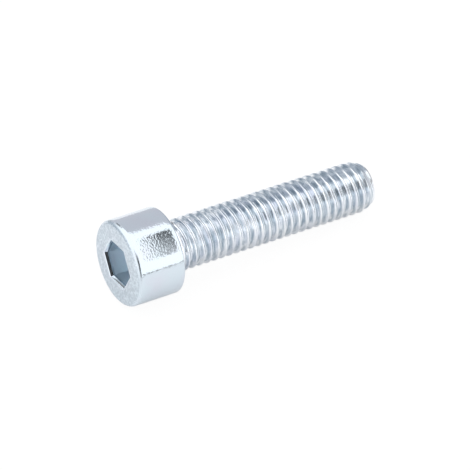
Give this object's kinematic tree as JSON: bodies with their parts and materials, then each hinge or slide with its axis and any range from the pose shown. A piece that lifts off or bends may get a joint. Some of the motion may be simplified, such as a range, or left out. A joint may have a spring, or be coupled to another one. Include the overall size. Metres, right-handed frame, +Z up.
{
  "type": "hex socket cap screw",
  "caption": "Hex socket cap screw: smooth cylindrical head with a rounded face edge, and a right-hand metric thread along the whole shank to a tapered tip.",
  "frame": {"origin": "centre of the bearing face under the head, on the screw's axis; the screw lies on its side as it comes to rest", "axes": "+X level, along the shank towards the tip; the screw's own axis dips 4.6 degrees below +X, because head rim and tip touch the surface; +Z up"},
  "size_m": [0.0427, 0.013, 0.0135],
  "materials": {
    "zinc_plated_steel": "bright blue-white zinc plating"
  },
  "bodies": {
    "root": {"cap_screw": "zinc_plated_steel"}
  },
  "joints": []
}
